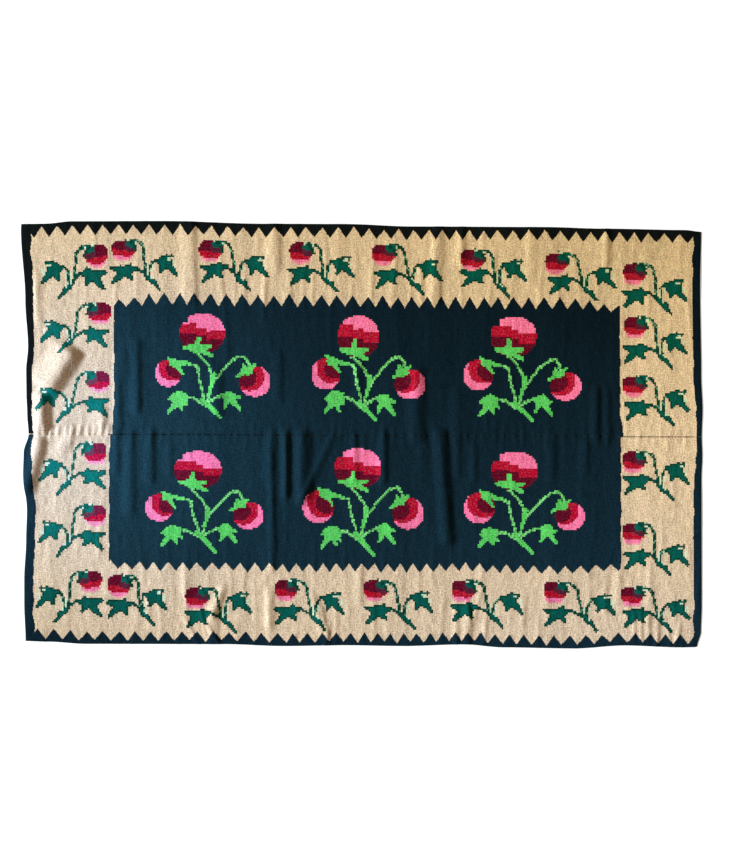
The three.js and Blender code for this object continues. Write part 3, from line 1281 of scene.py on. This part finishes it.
@dataclass(frozen=True)
class PaintedLightGradient:
    """Painted light: a cool light from the left end and a sheen on dark wool, painted into the colours.

    Args:
        cool_light: Where the painted cool light falls.
        cool_light_from: The strength from which the cool light is painted.
        warm_light_tint, cool_light_tint: The painted light's tint where it is weakest and where it is
            strongest.
        flower_light: Where the flowers are painted paler by the same light.
        flower_light_from, most_flower_light: The strength from which they pale, and the most that they
            do.
        painted_sheen: The painted sheen that the cool light adds to dark wool.
        painted_sheen_power: How sharply the painted sheen follows the cool light.
        levels: Patches of painted light and shade, lighter or darker than the rest.
    """

    cool_light: tuple[Glow, ...] = (Glow(-1.05, 0.02, 1.0, 1.1), Glow(1.0, -1.5, 2.0, 1.2))
    cool_light_from: float = 0.37
    warm_light_tint: tuple[float, ...] = (1.0, 0.9, 0.61, 1)
    cool_light_tint: tuple[float, ...] = (1.0, 1.11, 1.44, 1)
    flower_light: Glow = Glow(-1.15, 0.0, 0.75, 0.8)
    flower_light_from: float = 0.4
    most_flower_light: float = 0.24
    painted_sheen: tuple[float, ...] = (0.007, 0.034, 0.055, 1)
    painted_sheen_power: float = 1.4
    levels: tuple[Glow, ...] = (
        Glow(1.2, -0.05, 0.5, 0.16),
        Glow(-1.15, -0.8, 0.35, -0.14),
        Glow(0.95, 0.75, 0.3, -0.12),
    )

    def build(self) -> bpy.types.NodeTree:
        """Builds the node group.

        Returns:
            The group.
        """
        takes = {"Color": "Color", "Dark": "Float", "Flower": "Float"}
        wire, given, leave = new_group("painted_light_gradient", takes, {"Color": "Color"})
        place = wire.add("ShaderNodeTexCoord").outputs["Object"]
        # Painted light: pools of cool light, strongest over the left end.
        total = wire.plus(*(glow.read(wire, place) for glow in self.cool_light))
        light = {"Value": wire.minus(total, self.cool_light_from)}
        fade = wire.add("ShaderNodeClamp", light).outputs[0]
        # The flowers are painted paler where the cool light falls.
        lit_flowers = {"Value": wire.minus(self.flower_light.read(wire, place), self.flower_light_from), "Max": self.most_flower_light}
        lit_flowers = wire.times(wire.add("ShaderNodeClamp", lit_flowers).outputs[0], given["Flower"])
        paled = {"Color": given["Color"], "Gamma": wire.minus(1.0, lit_flowers)}
        colour = wire.add("ShaderNodeGamma", paled).outputs[0]
        # Tints every colour by the painted light: warm where it is weak, cool where it is strong.
        colour = wire.mix(1.0, colour, wire.mix(fade, self.warm_light_tint, self.cool_light_tint), "MULTIPLY")
        # Painted sheen, added to the dark wool that shows where the cool light falls.
        painted_sheened = wire.times(wire.math("POWER", fade, self.painted_sheen_power), given["Dark"])
        colour = wire.mix(painted_sheened, colour, self.painted_sheen, "ADD")
        # Patches of painted light and shade over the rug.
        level = wire.plus(1.0, *(glow.read(wire, place) for glow in self.levels))
        wire.feed(leave, {0: wire.mix(1.0, colour, level, "MULTIPLY")})
        return wire.tree


def new_material(name: str, settings: dict) -> tuple[bpy.types.Material, Wiring, bpy.types.Node]:
    """Makes a material with plain settings.

    Args:
        name: Its name.
        settings: The values of the shader's own sockets.

    Returns:
        The material, its wiring and its shader.
    """
    material = bpy.data.materials.new(name)
    material.use_nodes = True
    wire, shader = Wiring(material.node_tree), material.node_tree.nodes["Principled BSDF"]
    wire.feed(shader, settings)
    return material, wire, shader


@dataclass(frozen=True)
class WoolFinish:
    """Matt hand-spun wool in a dense weft-faced weave. Its lengths are in metres."""

    warp_pitch: float = 0.0035
    weft_pitch: float = 0.00135
    relief: float = 0.0006
    relief_strength: float = 0.7
    roughness: float = 0.95
    specular: float = 0.015
    sheen: float = 0.01
    sheen_roughness: float = 0.5
    streaks: float = 1.0
    flecks: float = 1.7
    least_heather: float = 0.25

    def make(self, name: str, ground: Ground, groups: Groups) -> bpy.types.Material:
        """Makes the material of a panel.

        Args:
            name: The material's name.
            ground: The sizes of the panel's ground.
            groups: The shared node groups.

        Returns:
            The material.
        """
        material, wire, shader = new_material(name, {
            "Roughness": self.roughness,
            "Specular IOR Level": self.specular,
            "Sheen Weight": self.sheen,
            "Sheen Roughness": self.sheen_roughness,
        })
        weave = wire.add("ShaderNodeUVMap", uv_map="weave").outputs[0]
        teeth = wire.add("ShaderNodeUVMap", uv_map="teeth").outputs[0]
        sizes = {label: getattr(ground, label) for label in GroundPattern.sizes()}
        woven = wire.group(groups["ground"], {"Weave": weave, "Teeth": teeth} | sizes)
        dark, band = woven["Dark"], woven["Band"]
        base = wire.mix(dark, (*Dye.CREAM.linear, 1), (*Dye.DARK.linear, 1))
        base = wire.mix(band, base, (*ground.band_dye.linear, 1))
        motif = wire.add("ShaderNodeAttribute", attribute_name="motif").outputs
        base = wire.mix(motif["Alpha"], base, motif["Color"])
        # The dark wool that shows takes the painted sheen; the bands take less of it.
        painted_sheen_share = wire.times(dark, wire.minus(1.0, motif["Alpha"]))
        painted_sheen_share = wire.minus(painted_sheen_share, wire.times(band, ground.band_sheen_cut))
        painted_lighting = {"Color": base, "Dark": painted_sheen_share, "Flower": motif["Alpha"]}
        # Paints the cool light and sheen from the left end into the colour.
        base = wire.group(groups["fade"], painted_lighting)[0]
        pitches = {"Weave": weave, "Warp pitch": self.warp_pitch, "Weft pitch": self.weft_pitch}
        relief = wire.group(groups["weave"], pitches)
        cream = wire.minus(1.0, wire.math("MAXIMUM", dark, motif["Alpha"]))
        heather = wire.plus(wire.times(cream, 1 - self.least_heather), self.least_heather)
        wool = {"Weave": weave, "Color": base, "Bead": relief["Bead"], "Heather": heather}
        wool |= {"Streaks": self.streaks, "Flecks": self.flecks}
        bump = {"Strength": self.relief_strength, "Distance": self.relief, "Height": relief["Height"]}
        normal = wire.add("ShaderNodeBump", bump).outputs[0]
        wire.feed(shader, {"Base Color": wire.group(groups["yarn"], wool)[0], "Normal": normal})
        return material


@dataclass
class Panel:
    """One woven length of the rug, as a closed sheet with its flowers on its faces."""

    name: str
    node: str
    side: Side
    form: RugForm
    ground: Ground
    columns: int = 400
    rows: int = 118
    edge_round: float = 0.8
    rim_low: float = 0.2
    rim_high: float = 0.8
    seam_dip: float = 0.9
    seam_reach: float = 5.0
    unevenness: float = 0.3
    long_share: float = 0.6
    long_rounds: int = 12
    seed: int = 5

    def lattice(self) -> tuple[np.ndarray, ...]:
        """Lays out the sheet's points.

        Returns:
            The shares along and across, and the x, y and underside height of each point.
        """
        along = np.linspace(0, 1, self.columns + 1)
        across = np.linspace(0, 1, self.rows + 1)
        inset_u, inset_v = self.edge_round / self.form.length, 2 * self.edge_round / self.form.width
        u, v = np.meshgrid(np.clip(along, inset_u, 1 - inset_u), np.clip(across, inset_v, 1 - inset_v))
        x, y = self.form.point(self.side, u, v)
        return u, v, x, y, self.form.underside(x, y)

    def beating(self, shape: tuple[int, int]) -> np.ndarray:
        """Makes the small unevenness of hand beating, longer across the panel than along it.

        Args:
            shape: The rows and columns of points.

        Returns:
            The height to add at each point.
        """
        draw = np.random.default_rng(self.seed + self.side.value)
        fine, long = draw.standard_normal(shape), draw.standard_normal(shape)
        for axis in (0, 1, 0, 1):
            fine = self.smoothed(fine, axis)
        for axis in [0] * self.long_rounds + [1]:
            long = self.smoothed(long, axis)
        return self.unevenness * (fine / fine.std() + self.long_share * long / long.std())

    @staticmethod
    def smoothed(heights: np.ndarray, axis: int) -> np.ndarray:
        """Evens heights out with their neighbours along one axis."""
        return (np.roll(heights, 1, axis) + 2 * heights + np.roll(heights, -1, axis)) / 4

    def build(self, chart: Chart) -> bpy.types.Object:
        """Builds the sheet.

        Args:
            chart: The flowers of both panels.

        Returns:
            The object.
        """
        u, v, x, y, low = self.lattice()
        beaten = self.beating(x.shape)
        thickness = self.form.thickness
        high = low + thickness + beaten
        across_mm = v * self.form.width / 2
        high -= self.seam_dip * np.exp(-((across_mm / self.seam_reach) ** 2))
        border = np.zeros(x.shape, dtype=bool)
        border[[0, -1], :] = border[:, [0, -1]] = True
        high[border] = low[border] + thickness * self.rim_high
        low = np.where(border, low + thickness * self.rim_low, low)

        ring_row, ring_column = self.ring()
        ring_u, ring_v = ring_column / self.columns, ring_row / self.rows
        ring_x, ring_y = self.form.point(self.side, ring_u, ring_v)
        ring_z = self.form.underside(ring_x, ring_y) + thickness / 2

        layers = [(x, y, low), (x, y, high)]
        points = np.concatenate(
            [np.stack([a.ravel() for a in layer], 1) for layer in layers]
            + [np.stack([ring_x, ring_y, ring_z], 1)]
        )
        lattice = np.stack([u.ravel(), v.ravel()], 1)
        cloth = np.concatenate([lattice, lattice, np.stack([ring_u, ring_v], 1)])
        faces, part, colours = self.faces(ring_row, ring_column, chart)
        return self.mesh(points, cloth, faces, part, colours)

    def ring(self) -> tuple[np.ndarray, np.ndarray]:
        """Walks once round the edge of the sheet.

        Returns:
            The row and the column of each point on the way.
        """
        columns, rows = np.arange(self.columns), np.arange(self.rows)
        row = np.concatenate([0 * columns, rows, 0 * columns + self.rows, self.rows - rows])
        column = np.concatenate([columns, 0 * rows + self.columns, self.columns - columns, 0 * rows])
        return row, column

    def faces(
        self, ring_row: np.ndarray, ring_column: np.ndarray, chart: Chart
    ) -> tuple[np.ndarray, ...]:
        """Joins the points into faces.

        Args:
            ring_row, ring_column: The walk round the edge.
            chart: The flowers of both panels.

        Returns:
            The faces' corners, the part that each belongs to (0 top, 1 underside, 2 rim) and
            each face's flower colour.
        """
        wide = self.columns + 1
        row, column = np.meshgrid(np.arange(self.rows), np.arange(self.columns), indexing="ij")
        corner = (row * wide + column).ravel()
        under = np.stack([corner, corner + wide, corner + wide + 1, corner + 1], 1)
        count = wide * (self.rows + 1)
        top = under[:, ::-1] + count
        outline = ring_row * wide + ring_column
        middle = 2 * count + np.arange(len(outline))
        rims = []
        for lower, upper in ((outline, middle), (middle, outline + count)):
            rims.append(np.stack([lower, np.roll(lower, -1), np.roll(upper, -1), upper], 1))
        faces = np.concatenate([top, under, *rims])
        if self.side is Side.NEAR:
            faces = faces[:, ::-1]
        part = np.repeat([0, 1, 2], [len(top), len(under), 2 * len(outline)])
        flowers = chart.colour[0 if self.side is Side.FAR else 1].reshape(-1, 4)
        colours = np.concatenate([flowers, flowers, np.zeros((2 * len(outline), 4))])
        return faces, part, colours

    def mesh(
        self,
        points: np.ndarray,
        cloth: np.ndarray,
        faces: np.ndarray,
        part: np.ndarray,
        colours: np.ndarray,
    ) -> bpy.types.Object:
        """Makes the object with its maps and its flower attribute.

        Args:
            points: The place of each point.
            cloth: Its shares along and across the panel.
            faces: The corners of each face.
            part: The part that each face belongs to.
            colours: Each face's flower colour.

        Returns:
            The object.
        """
        data = bpy.data.meshes.new(self.name)
        data.vertices.add(len(points))
        data.vertices.foreach_set("co", (points * MM).astype(np.float32).ravel())
        data.loops.add(faces.size)
        data.loops.foreach_set("vertex_index", faces.astype(np.int32).ravel())
        data.polygons.add(len(faces))
        data.polygons.foreach_set("loop_start", np.arange(0, faces.size, 4, dtype=np.int32))
        data.update(calc_edges=True)
        data.polygons.foreach_set("use_smooth", np.ones(len(faces), dtype=bool))

        corner = cloth[faces]
        lines = self.form.far_teeth if self.side is Side.FAR else self.form.near_teeth
        maps = {
            "weave": corner * (self.form.length * MM, self.form.width / 2 * MM),
            "teeth": np.stack([line.count(points[faces][..., 0]) for line in lines], -1),
            "OFBake": self.bake_map(corner, part),
        }
        for name, places in maps.items():
            data.uv_layers.new(name=name).uv.foreach_set("vector", places.astype(np.float32).ravel())
        motif = data.attributes.new("motif", "FLOAT_COLOR", "FACE")
        motif.data.foreach_set("color", colours.astype(np.float32).ravel())
        data.validate()
        panel = bpy.data.objects.new(self.name, data)
        bpy.context.scene.collection.objects.link(panel)
        return panel

    @staticmethod
    def bake_map(corner: np.ndarray, part: np.ndarray) -> np.ndarray:
        """Lays the sheet out for a square texture: the top as two long strips, then the rest.

        Args:
            corner: The shares along and across at each corner of each face.
            part: The part that each face belongs to.

        Returns:
            The place of each corner in the texture.
        """
        along, across = corner[..., 0], corner[..., 1]
        middle = along.mean(1, keepdims=True)
        second = (middle > 0.5).astype(float)
        margin, top_high, under_high, rim_high, at_edge = 0.004, 0.335, 0.28, 0.004, 1e-4
        x = margin + (1 - 2 * margin) * (2 * along - second)
        y = margin + second * (top_high + margin) + across * top_high
        under = part == 1
        x[under] = margin + (1 - 2 * margin) * along[under]
        base = 3 * margin + 2 * top_high
        y[under] = base + across[under] * under_high
        rim = part == 2
        seam, outer = across.mean(1) < at_edge, across.mean(1) > 1 - at_edge
        left, right = along.mean(1) < at_edge, along.mean(1) > 1 - at_edge
        base += under_high + 2 * margin
        edges = ((seam, along), (outer, along), (left, across), (right, across))
        for row, (edge, run) in enumerate(edges):
            chosen = rim & edge
            x[chosen] = margin + (1 - 2 * margin) * run[chosen]
            y[chosen] = base + row * 2 * rim_high + np.array([0, 0, 1, 1]) * rim_high
        return np.stack([x, y], -1)

    def dress(self, panel: bpy.types.Object, finish: WoolFinish, groups: Groups) -> None:
        """Gives the sheet its wool.

        Args:
            panel: The sheet.
            finish: The wool.
            groups: The shared node groups.
        """
        panel.data.materials.append(finish.make(f"{self.name}_wool", self.ground, groups))
        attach(panel, "root")
        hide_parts(self.node)


@dataclass
class SeamYarn:
    """The sewing: a yarn laid between the two panels, and small slanting stitches over it."""

    form: RugForm
    name: str = "seam_yarn"
    core_radius: float = 1.2
    core_pitch: float = 12.0
    core_rise: float = 1.8
    stitch_pitch: float = 9.0
    stitch_half: float = 4.2
    stitch_radius: float = 0.75
    stitch_rise: float = 2.5
    slant: float = math.radians(58)
    end_inset: float = 34.0
    sight: float = 2.0
    unevenness: float = 0.12
    seed: int = 3

    def build(self) -> bpy.types.Object:
        """Builds the yarn and its stitches as one piece.

        Returns:
            The object.
        """
        parts = self.lay(self.model_core(), self.core_pitch, self.core_rise, 0.0)
        parts += self.lay(self.model_stitch(), self.stitch_pitch, self.stitch_rise, self.slant)
        bpy.ops.object.select_all(action="DESELECT")
        for part in parts:
            part.select_set(True)
        bpy.context.view_layer.objects.active = parts[0]
        bpy.ops.object.join()
        parts[0].name = self.name
        bpy.ops.object.transform_apply(location=True, rotation=True, scale=True)
        bpy.ops.object.shade_smooth()
        return parts[0]

    def model_core(self) -> bpy.types.Object:
        """Models one short length of the laid yarn, along X."""
        bpy.ops.object.select_all(action="DESELECT")
        length = self.core_pitch * 1.5 * MM
        bpy.ops.mesh.primitive_cylinder_add(vertices=8, radius=self.core_radius * MM, depth=length)
        core = bpy.context.object
        core.rotation_euler = (0, math.pi / 2, 0)
        bpy.ops.object.transform_apply(location=False, rotation=True, scale=False)
        return core

    def model_stitch(self) -> bpy.types.Object:
        """Models one stitch, long along X, whose two ends go down into the cloth."""
        bpy.ops.object.select_all(action="DESELECT")
        bpy.ops.mesh.primitive_uv_sphere_add(segments=8, ring_count=8, radius=self.stitch_radius * MM)
        stitch = bpy.context.object
        stitch.rotation_euler = (0, math.pi / 2, 0)
        bpy.ops.object.transform_apply(location=False, rotation=True, scale=False)
        stitch.scale = (self.stitch_half / self.stitch_radius, 1, 1)
        bpy.ops.object.transform_apply(location=False, rotation=False, scale=True)
        return stitch

    def lay(self, first: bpy.types.Object, pitch: float, rise: float, slant: float) -> list:
        """Copies a part all along the seam, following the lie of the cloth.

        Args:
            first: The part, which becomes the first in the row.
            pitch: The distance from one to the next.
            rise: Its height over the underside of the cloth.
            slant: How far it is turned from the seam.

        Returns:
            The row of parts.
        """
        draw = np.random.default_rng(self.seed)
        half = self.form.length / 2 - self.end_inset
        places = np.arange(-half, half, pitch)
        before, after = self.path(places - self.sight, rise), self.path(places + self.sight, rise)
        row = []
        for number, (start, end) in enumerate(zip(before, after)):
            part = first
            if number:
                part = first.copy()
                part.data = first.data.copy()
                bpy.context.scene.collection.objects.link(part)
            rough = draw.uniform(-self.unevenness, self.unevenness) if slant else 0.0
            tip = -math.atan2(end[2] - start[2], end[0] - start[0])
            turn = math.atan2(end[1] - start[1], end[0] - start[0]) + slant + rough
            part.location = (start + end) / 2 * MM
            part.rotation_euler = (0, tip * math.cos(slant), turn)
            row.append(part)
        return row

    def path(self, x: np.ndarray, rise: float) -> np.ndarray:
        """Finds points over the seam.

        Args:
            x: Places along the rug.
            rise: Their height over the underside of the cloth.

        Returns:
            One point for each place.
        """
        y = self.form.seam_line.at(x)
        return np.stack([x, y, self.form.underside(x, y) + rise], 1)

    def dress(self, yarn: bpy.types.Object, finish: "YarnFinish") -> None:
        """Gives the sewing its wool.

        Args:
            yarn: The yarn and its stitches.
            finish: The wool.
        """
        yarn.data.materials.append(finish.make("sewing_yarn"))
        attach(yarn, "root")


@dataclass(frozen=True)
class YarnFinish:
    """Twisted sewing wool: dark along the field; pale at the left end, lighter than the cream to offset
    the seam's shade; a painted shadow of the seam at the right end.

    Its places and lengths are in metres.
    """

    dark: tuple[float, ...] = (0.011, 0.026, 0.036, 1)
    shadow_brown: tuple[float, ...] = (0.1, 0.055, 0.028, 1)
    pale: tuple[float, ...] = (0.92, 0.8, 0.66, 1)
    pale_until: float = -0.93
    shadow_brown_from: float = 0.945
    fuzz_scale: float = 300.0
    twist: float = 900.0
    relief: float = 0.0003
    relief_strength: float = 0.6
    roughness: float = 0.95
    specular: float = 0.03

    def make(self, name: str) -> bpy.types.Material:
        """Makes the material.

        Args:
            name: Its name.

        Returns:
            The material.
        """
        plain = {"Roughness": self.roughness, "Specular IOR Level": self.specular}
        material, wire, shader = new_material(name, plain)
        place = wire.add("ShaderNodeTexCoord").outputs["Object"]
        along = wire.parts(place)[0]
        # Pale at the left end: cream sewing wool, made lighter than the cream to offset the seam's shade
        # there, so partly painted light.
        colour = wire.mix(wire.math("LESS_THAN", along, self.pale_until), self.dark, self.pale)
        # Painted shadow: the seam's shadow at the right end, given to the yarn as a dark colour.
        colour = wire.mix(wire.math("GREATER_THAN", along, self.shadow_brown_from), colour, self.shadow_brown)
        uneven = wire.plus(wire.noise(place, self.fuzz_scale, 2.0), 0.5)
        toned = wire.add("ShaderNodeHueSaturation", {"Value": uneven, "Color": colour})
        tilt = {0: place, 1: (1.0, 1.0, 1.0)}
        tilted = wire.add("ShaderNodeVectorMath", tilt, operation="DOT_PRODUCT").outputs["Value"]
        ply = wire.math("SINE", wire.times(tilted, self.twist * 2 * math.pi))
        bump = {"Strength": self.relief_strength, "Distance": self.relief, "Height": ply}
        normal = wire.add("ShaderNodeBump", bump).outputs[0]
        wire.feed(shader, {"Base Color": toned.outputs[0], "Normal": normal})
        return material


@dataclass(frozen=True)
class Lamp:
    """A light.

    Args:
        name: Its name.
        kind: SUN or AREA.
        colour: Its colour.
        energy: How strong it is.
        lean: How far it is turned from straight down, in degrees.
        place: Where it hangs.
        settings: The light's own settings.
    """

    name: str
    kind: str
    colour: tuple[float, float, float]
    energy: float
    lean: float
    place: tuple[float, float, float] = (0.0, 0.0, 0.0)
    settings: tuple[tuple[str, float], ...] = ()

    def hang(self) -> None:
        """Puts the light into the scene."""
        light = bpy.data.objects.new(self.name, bpy.data.lights.new(self.name, self.kind))
        light.data.energy = self.energy
        light.data.color = self.colour
        for setting, value in self.settings:
            setattr(light.data, setting, value)
        light.location = self.place
        light.rotation_euler = (0, math.radians(self.lean), 0)
        bpy.context.scene.collection.objects.link(light)


@dataclass
class Studio:
    """The floor, the lights and the camera. Its lengths are in metres."""

    camera_x: float = 0.0321
    camera_y: float = 0.0064
    frame_height: float = 3.1765
    lens_mm: float = 100.0
    sensor_mm: float = 36.0
    floor_size: float = 60.0
    floor_drop: float = 0.0002
    floor_colour: tuple[float, ...] = (0.86, 0.86, 0.86, 1)
    floor_glow: tuple[float, ...] = (0.8, 0.9, 1.0, 1)
    lit_room: tuple[float, ...] = (0.29, 0.2, 0.12, 1)
    seen_room: tuple[float, ...] = (0.95, 0.96, 0.97, 1)
    broad_light: Lamp = Lamp(
        "broad_light", "SUN", (0.925, 0.995, 1.0), 4.75, -61, settings=(("angle", math.radians(12)),)
    )
    window_light: Lamp = Lamp(
        "window_light", "AREA", (0.7, 0.86, 1.0), 20, -65, (-2.6, 0.0, 0.85), (("size", 0.6),)
    )

    def build(self) -> None:
        """Builds everything round the rug: both lights shine from the left."""
        self.make_floor()
        self.broad_light.hang()
        self.window_light.hang()
        self.make_world()
        self.make_camera()

    def make_floor(self) -> None:
        """Lays a plain pale floor."""
        bpy.ops.object.select_all(action="DESELECT")
        bpy.ops.mesh.primitive_plane_add(size=self.floor_size, location=(0, 0, -self.floor_drop))
        floor = bpy.context.object
        floor.name = "floor"
        floor.data.materials.append(new_material("pale_floor", {
            "Base Color": self.floor_colour,
            "Roughness": 0.9,
            "Specular IOR Level": 0.1,
            "Emission Color": self.floor_glow,
            "Emission Strength": 0.3,
        })[0])

    def make_world(self) -> None:
        """Fills the room with soft light."""
        world = bpy.data.worlds.new("room")
        world.use_nodes = True
        bpy.context.scene.world = world
        wire = Wiring(world.node_tree)
        seen = wire.add("ShaderNodeLightPath").outputs["Is Camera Ray"]
        colour = wire.mix(seen, self.lit_room, self.seen_room)
        wire.feed(world.node_tree.nodes["Background"], {"Color": colour})

    def make_camera(self) -> None:
        """Looks straight down at the rug, as the photograph does."""
        camera = bpy.data.objects.new("camera", bpy.data.cameras.new("camera"))
        camera.data.lens = self.lens_mm
        camera.data.sensor_width = self.sensor_mm
        height = self.frame_height * self.lens_mm / self.sensor_mm
        camera.location = (self.camera_x, self.camera_y, height)
        bpy.context.scene.collection.objects.link(camera)
        bpy.context.scene.camera = camera
        bpy.context.scene.view_settings.view_transform = "Standard"


def main() -> None:
    """Builds the rug and reports each piece."""
    logging.basicConfig(level=logging.INFO, format="%(message)s")
    form = RugForm()
    # The "fade" group paints light: a cool light and a sheen from the left end.
    makers = {"ground": GroundPattern, "weave": WeaveRelief, "yarn": UnevenWool, "fade": PaintedLightGradient}
    groups = {name: maker().build() for name, maker in makers.items()}
    panels = (
        Panel("far_cloth", "far_panel", Side.FAR, form, Ground()),
        Panel("near_cloth", "near_panel", Side.NEAR, form,
              Ground(left_reach=110, field_left=322, field_left_at_seam=327, field_right=2200,
                     field_right_at_seam=2200, outer_roots=734, inner_tips=476, inner_roots=508,
                     corner_dip=8, band_sheen_cut=0.35, band_dye=Dye.DARK)),
    )
    chart = chart_flowers(form, panels[0].columns, panels[0].rows)
    finish = WoolFinish()
    sewing = SeamYarn(form)
    yarn = sewing.build()
    sewing.dress(yarn, YarnFinish())
    LOG.info("%s: %d faces", yarn.name, len(yarn.data.polygons))
    for panel in panels:
        cloth = panel.build(chart)
        panel.dress(cloth, finish, groups)
        LOG.info("%s: %d faces", cloth.name, len(cloth.data.polygons))
    Studio().build()


if __name__ == "__main__":
    main()
